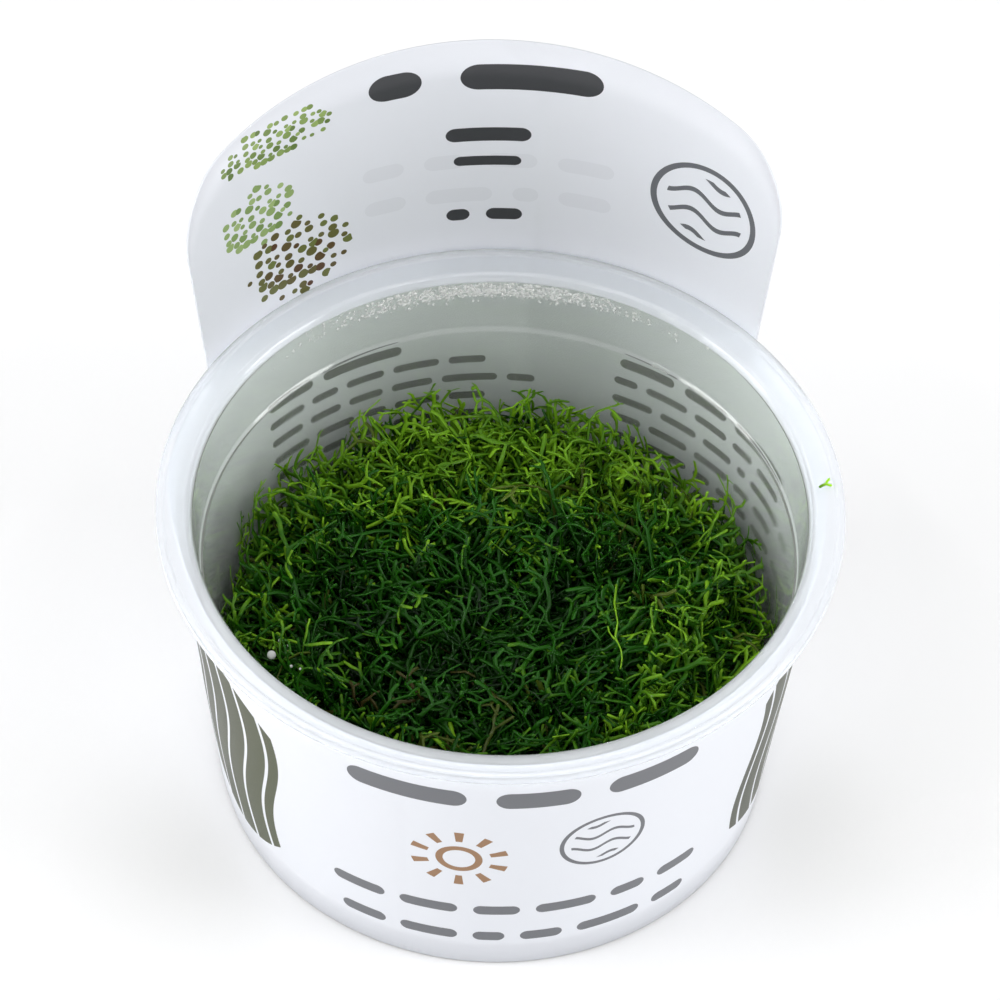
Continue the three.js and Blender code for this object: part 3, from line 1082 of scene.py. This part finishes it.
class Tangle:
    """Gathers bent and placed copies of the fronds into the meshes of the plant"""

    def __init__(self, fronds, seed):
        self.fronds = fronds
        self.dice = random.Random(seed)
        self.parts = {}

    def add(self, spot, lean, heading, size, ages_and_light, shade=None, frond=None, curl=None):
        """Adds one frond, with a bend of its own, to the part of the plant that holds its root"""
        dice = self.dice
        points, age, faces = frond or dice.choice(self.fronds)
        way = dice.choice((-1, 1))
        curl = curl or (way * dice.uniform(0.0, 0.14), way * dice.uniform(-0.006, 0.014))
        calm = 0.3 if frond else 1.0
        wave = (calm * dice.uniform(-0.05, 0.05), calm * dice.uniform(0.1, 0.6), dice.uniform(0, 6))
        points = bend(points * size, *curl, *wave)
        points = turned(points, dice.uniform(0, math.tau), lean, heading) + np.array(spot)
        empty = {"points": [], "age": [], "shade": [], "faces": [], "count": 0}
        part = self.parts.setdefault(self.sector(*spot[:2]), empty)
        part["points"].append(held_in_cup(points))
        # The range of values carries age together with painted light and painted shade
        part["age"].append(ages_and_light[0] + (ages_and_light[1] - ages_and_light[0]) * age)
        part["shade"].append(np.full(len(age), dice.random() if shade is None else shade))
        part["faces"] += [[index + part["count"] for index in face] for face in faces]
        part["count"] += len(age)

    def sector(self, x, y):
        if math.hypot(x, y) < CROWN_REACH:
            return "crown"
        return ("right", "back", "left", "front")[int((math.atan2(y, x) / (math.pi / 2) + 0.5) % 4)]

    def mesh(self, name, sector):
        part = self.parts[sector]
        values = {label: np.concatenate(part[label]) for label in ("age", "shade")}
        return frond_mesh(name, np.concatenate(part["points"]), part["faces"], values)


class CRYSTALWORT_OT_plant(bpy.types.Operator):
    """Grow the tangle of forked ribbons in the cup"""

    bl_idname = "crystalwort.plant"
    bl_label = "Crystalwort"

    def execute(self, context):
        plant = context.scene.crystalwort_plant
        maker = FrondMaker(7, plant.width / MM, plant.thickness / MM)
        tangle = Tangle([maker.frond() for _ in range(FROND_KINDS)], 11)
        long = [maker.frond(maker.dice.uniform(*LONG_STEMS)) for _ in range(LONG_KINDS)]
        self.fill(tangle, long, plant.fronds)
        self.add_back_tips(tangle)
        self.add_single_fronds(tangle, FrondMaker(17, maker.width, maker.thickness))
        green = ribbon_green("crystalwort_green", plant)
        for sector in sorted(tangle.parts):
            name = f"crystalwort_{sector}"
            piece = placed(name, tangle.mesh(name, sector), [green])
            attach(piece, "root")
            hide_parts("crystalwort")
        heart = finished("crystalwort_heart", self.heart(), [green])
        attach(heart, "root")
        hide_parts("crystalwort")
        return {"FINISHED"}

    def fill(self, tangle, long, count):
        """Spreads fronds evenly over the mound: some lie deep, some across the top, some rise"""
        dice = tangle.dice
        for index in range(count):
            layer = dice.random()
            out = MOUND_REACH * math.sqrt((index + 0.5) / count)
            turn = index * GOLDEN_TURN
            x = out * math.cos(turn) + dice.uniform(-0.6, 0.6)
            y = out * math.sin(turn) + dice.uniform(-0.6, 0.6)
            top = surface_height(x, y)
            # Painted light: the fronds at the back, the right and the edge get paler tips and lighter bases
            paler_green = painted_light(x, y)
            base = -0.15 + 0.5 * paler_green
            tip = self.tip_paleness(dice, x, y, paler_green)
            heading = self.heading(dice, x, y)
            # The deep fronds and the low bases stay dark: old tissue and painted shade in the gaps
            ages_and_light = {
                "deep": (0.0, 0.3),
                "lying": (base, tip),
                "long": (0.18 + 0.3 * paler_green, max(tip, 0.36) + 0.12),
                "rising": (base, tip + 0.1),
            }
            kind = next(name for name, row in LAYERS.items() if layer < row[0])
            _, depths, leans, sizes = LAYERS[kind]
            if kind == "rising":
                upright = max(smooth_share(-y, 8.0, 30.0), smooth_share(y, 14.0, 34.0))
                lean = dice.uniform(*leans) * (1.0 - 0.4 * upright)
                depth = dice.uniform(*depths)
            else:
                depth = dice.uniform(*depths)
                lean = dice.uniform(*leans)
            frond = dice.choice(long) if kind == "long" else None
            spot = (x, y, top - depth)
            size = dice.uniform(*sizes)
            tangle.add(spot, math.radians(lean), heading, size, ages_and_light[kind], frond=frond)

    def tip_paleness(self, dice, x, y, paler_green):
        """Age value of a frond's tip with painted light added; the higher it is, the paler is its green"""
        patch = 0.4 * noise.noise(Vector((x, y, 7.0)) * 0.21)
        # The painted light share makes the tips paler where more light falls
        tip = 0.14 + 0.82 * paler_green + patch + dice.uniform(-0.1, 0.15) + 0.5 * (dice.random() < PALE_SHARE)
        return max(tip, LOWEST_TIP)

    def heading(self, dice, x, y):
        """Fronds point any way, but the ones at the left and the back are combed outwards"""
        outward = math.atan2(y, x)
        combed = max(smooth_share(-x, 2.0, 26.0), 0.6 * smooth_share(y, 10.0, 34.0))
        return outward + dice.gauss(0.0, 2.2 - 1.5 * combed)

    def add_back_tips(self, tangle):
        """Pale fronds that stand up against the back wall"""
        dice = tangle.dice
        for _ in range(BACK_TIPS):
            turn = math.radians(90.0 + dice.gauss(2.0, 24.0))
            out = dice.uniform(31.0, 39.5)
            x, y = out * math.cos(turn), out * math.sin(turn)
            spot = (x, y, mound_height(x, y) - dice.uniform(4.5, 7.0))
            lean = math.radians(dice.uniform(0, 32))
            tangle.add(spot, lean, turn + dice.gauss(0, 1.2), dice.uniform(0.8, 1.1), (0.3, 1.15), 0.8)

    def add_single_fronds(self, tangle, maker):
        """The fronds that stand out: one long strand and one curl"""
        for spot, lean, heading, stem, curl in SINGLE_FRONDS:
            frond = maker.frond(stem)
            tangle.add(spot, math.radians(lean), math.radians(heading), 1.0, (0.85, 1.2), 0.9, frond, curl)

    def heart(self):
        """The dense lower part of the mound, closed down to the cup's floor; its dark green is partly old
        tissue, partly painted shade
        """
        profile = [(0, PLANT_FOOT), (39.4, PLANT_FOOT), (40.6, 2.3), (41.6, 12.0), (41.2, 18.0)]
        profile += [(40.0 * share, HEART_TOP) for share in HEART_RINGS]
        profile.append((0, HEART_TOP))
        bm = spun([(radius * MM, height * MM) for radius, height in profile], HEART_STEPS)
        age = bm.verts.layers.float.new("age")
        shade = bm.verts.layers.float.new("shade")
        for vert in bm.verts:
            x, y, z = vert.co / MM
            lumps = noise.noise(Vector((x, y, z)) * 0.45) * 1.6
            if z > HEART_TOP - 1.0:
                vert.co.z = (mound_height(x, y) - 8.0 + lumps) * MM
            # Dark green: old tissue and painted shade under the fronds
            vert[age] = 0.12 + 0.1 * lumps
            vert[shade] = 0.5
        return bm


# Loose frond

LOOSE_SCALE = 0.19


class CRYSTALWORT_OT_loose_frond(bpy.types.Operator):
    """Lay the broken-off frond on the flange"""

    bl_idname = "crystalwort.loose_frond"
    bl_label = "Loose frond"

    def execute(self, context):
        low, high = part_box("loose_frond")
        points, ages_and_light, faces = FrondMaker(3, 2.2, 1.1).frond()
        points = bend(points * LOOSE_SCALE, 0.1, 0.0, 0.1, 0.05, 1.0)
        points = turned(points, math.radians(84), math.radians(88), math.radians(35))
        points += np.array((low + high) / 2 / MM) - (points.max(axis=0) + points.min(axis=0)) / 2
        points[:, 2] += low.z / MM - points[:, 2].min()
        values = {"age": 0.6 + 0.5 * ages_and_light, "shade": np.full(len(ages_and_light), 0.9)}
        mesh = frond_mesh("broken_frond", points, faces, values)
        green = ribbon_green("pale_green", context.scene.crystalwort_plant, 1.8)
        piece = placed("broken_frond", mesh, [green])
        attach(piece, "root")
        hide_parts("loose_frond")
        return {"FINISHED"}


# Water, in millimetres

LEDGE_RADIUS = 45.6
LEDGE_TOP = 48.1
UPPER_SLOPE = 0.0989
DROPS_TOP = 57.1
DROPS_FOOT = 49.0
DROPS_TURN = (-5.0, 15.0)

# Middle and size of each bead; their white is a painted highlight, and the smallest beads stand for glints
BEADS = (
    ((-34.4, -8.2, 30.4), 1.0),
    ((-33.2, -5.2, 30.2), 0.5),
    ((-31.8, -6.5, 30.8), 0.36),
    ((-31.2, -10.9, 31.2), 0.36),
    ((-29.8, -11.5, 31.4), 0.3),
)


def upper_wall(height):
    """Inner radius of the cup's wall above the ledge"""
    return LEDGE_RADIUS + (height - LEDGE_TOP) * UPPER_SLOPE


class CRYSTALWORT_OT_water(bpy.types.Operator):
    """Put the small drops on the back wall and the beads in the plant"""

    bl_idname = "crystalwort.water"
    bl_label = "Water"

    def execute(self, context):
        settings = context.scene.crystalwort_water
        # The drops' flat white is a painted glint
        drops = finished("wall_drops", self.wall_drops(settings), [water("painted_glint_mist", 0.55)])
        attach(drops, "root")
        bm = bmesh.new()
        for spot, size in BEADS:
            place = Matrix.Translation(Vector(spot) * MM) @ Matrix.Scale(settings.bead * size, 4)
            bmesh.ops.create_icosphere(bm, subdivisions=3, radius=1.0, matrix=place)
        # The beads' white is a painted highlight
        piece = finished("water_beads", bm, [water("painted_glint_water", 0.2)])
        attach(piece, "root")
        return {"FINISHED"}

    def wall_drops(self, settings):
        """Small flat drops in a band below the mouth, with a few lower ones"""
        dice = random.Random(5)
        bm = bmesh.new()
        for _ in range(settings.drops):
            turn = math.radians(dice.gauss(*DROPS_TURN))
            height = max(DROPS_TOP - 2.6 * dice.random() - 1.5 * (dice.random() < 0.06), DROPS_FOOT) * MM
            radius = settings.largest * dice.uniform(0.45, 1.0) ** 1.5
            wall = upper_wall(height / MM) * MM
            seat = Matrix.Translation((wall * math.sin(turn), wall * math.cos(turn), height))
            facing = Matrix.Rotation(-turn, 4, "Z")
            flat = Matrix.Diagonal((radius, radius * 0.45, radius * dice.uniform(1.0, 1.4), 1.0))
            bmesh.ops.create_icosphere(bm, subdivisions=1, radius=1.0, matrix=seat @ facing @ flat)
        return bm


# Stage

CUP_MIDDLE = (0.0, 0.0, 0.04)
TAB_RIGHT = (0.044, 0.03, 0.078)
WORLD_STRENGTH = 0.6

# Name, place, target, size in metres, watts and spread in degrees
LIGHTS = (
    ("tab_light", (-0.75, -0.55, 0.4), TAB_RIGHT, (0.1, 0.1), 0.009, 13.0),
    ("top_light", (0.0, 0.54, 0.98), CUP_MIDDLE, (0.5, 0.05), 1.1, 180.0),
    ("strip_light", (0.0, -0.46, 1.15), CUP_MIDDLE, (0.5, 0.04), 0.8, 180.0),
    ("left_strip_light", (-0.46, -0.36, 1.09), CUP_MIDDLE, (0.5, 0.04), 0.8, 180.0),
    ("right_strip_light", (0.46, -0.36, 1.09), CUP_MIDDLE, (0.5, 0.04), 0.8, 180.0),
    ("low_light", (0.0, -1.15, 0.27), CUP_MIDDLE, (1.2, 0.06), 0.5, 180.0),
    ("left_light", (-0.95, -0.18, 0.4), CUP_MIDDLE, (0.5, 0.5), 4.5, 180.0),
    ("right_light", (0.95, -0.18, 0.4), CUP_MIDDLE, (0.5, 0.5), 4.1, 180.0),
)

RIM_CENTRE_HEIGHT = 0.05912
CAMERA_RISE = math.radians(50.0)
SENSOR_WIDTH = 36.0
FOCAL_LENGTH = 191.06
PICTURE_SHIFT = -0.00109


def soft_light(name, place, target, size, watts, spread):
    light = bpy.data.lights.new(name, "AREA")
    light.spread = math.radians(spread)
    light.shape = "RECTANGLE"
    light.size, light.size_y = size
    light.energy = watts
    lamp = bpy.data.objects.new(name, light)
    bpy.context.scene.collection.objects.link(lamp)
    lamp.location = place
    lamp.rotation_euler = (Vector(target) - Vector(place)).to_track_quat("-Z", "Y").to_euler()


class CRYSTALWORT_OT_stage(bpy.types.Operator):
    """Set up the floor, the soft lights and the camera"""

    bl_idname = "crystalwort.stage"
    bl_label = "Stage"

    def execute(self, context):
        settings = context.scene.crystalwort_stage
        bm = bmesh.new()
        bmesh.ops.create_grid(bm, x_segments=8, y_segments=8, size=4.0)
        floor = finished("floor", bm, [pale_floor(settings)])
        for light in LIGHTS:
            soft_light(*light)
        world = bpy.data.worlds.new("studio")
        world.use_nodes = True
        background = world.node_tree.nodes["Background"].inputs
        background["Color"].default_value = (1.0, 1.0, 1.0, 1.0)
        background["Strength"].default_value = WORLD_STRENGTH
        context.scene.world = world
        context.scene.view_settings.view_transform = "Standard"
        self.camera(context, settings)
        return {"FINISHED"}

    def camera(self, context, settings):
        """The camera looks down at the front and holds the picture's slight turn"""
        data = bpy.data.cameras.new("camera")
        data.sensor_width = SENSOR_WIDTH
        data.lens = FOCAL_LENGTH
        data.shift_x = PICTURE_SHIFT
        data.clip_start = 0.05
        data.clip_end = 20.0
        camera = bpy.data.objects.new("camera", data)
        context.scene.collection.objects.link(camera)
        pitch = settings.pitch
        forward = Vector((0.0, math.cos(pitch), -math.sin(pitch)))
        up = Vector((0.0, math.sin(pitch), math.cos(pitch)))
        right = Vector((1.0, 0.0, 0.0))
        side = right * math.cos(settings.roll) + up * math.sin(settings.roll)
        top = side.cross(forward)
        height = RIM_CENTRE_HEIGHT + settings.distance * math.sin(CAMERA_RISE)
        place = Vector((0.0, -settings.distance * math.cos(CAMERA_RISE), height))
        turn = Matrix((side, top, -forward)).transposed().to_4x4()
        camera.matrix_world = Matrix.Translation(place) @ turn
        context.scene.camera = camera


# Add-on


class VIEW3D_PT_crystalwort(bpy.types.Panel):
    """Lists the steps that make the crystalwort cup"""

    bl_label = "Crystalwort cup"
    bl_space_type = "VIEW_3D"
    bl_region_type = "UI"
    bl_category = "Crystalwort"

    def draw(self, context):
        for step in STEPS:
            self.layout.operator(step.bl_idname)


STEPS = (
    CRYSTALWORT_OT_cup,
    CRYSTALWORT_OT_sleeve,
    CRYSTALWORT_OT_plant,
    CRYSTALWORT_OT_loose_frond,
    CRYSTALWORT_OT_water,
    CRYSTALWORT_OT_stage,
)
SETTINGS = {
    "crystalwort_cup": CupSettings,
    "crystalwort_sleeve": SleeveSettings,
    "crystalwort_plant": PlantSettings,
    "crystalwort_water": WaterSettings,
    "crystalwort_stage": StageSettings,
}
CLASSES = (*SETTINGS.values(), *STEPS, VIEW3D_PT_crystalwort)


def register():
    for kind in CLASSES:
        bpy.utils.register_class(kind)
    for name, group in SETTINGS.items():
        setattr(bpy.types.Scene, name, PointerProperty(type=group))


def unregister():
    for name in SETTINGS:
        delattr(bpy.types.Scene, name)
    for kind in reversed(CLASSES):
        bpy.utils.unregister_class(kind)


def main():
    register()
    for step in STEPS:
        family, name = step.bl_idname.split(".")
        getattr(getattr(bpy.ops, family), name)()


if __name__ == "__main__":
    main()
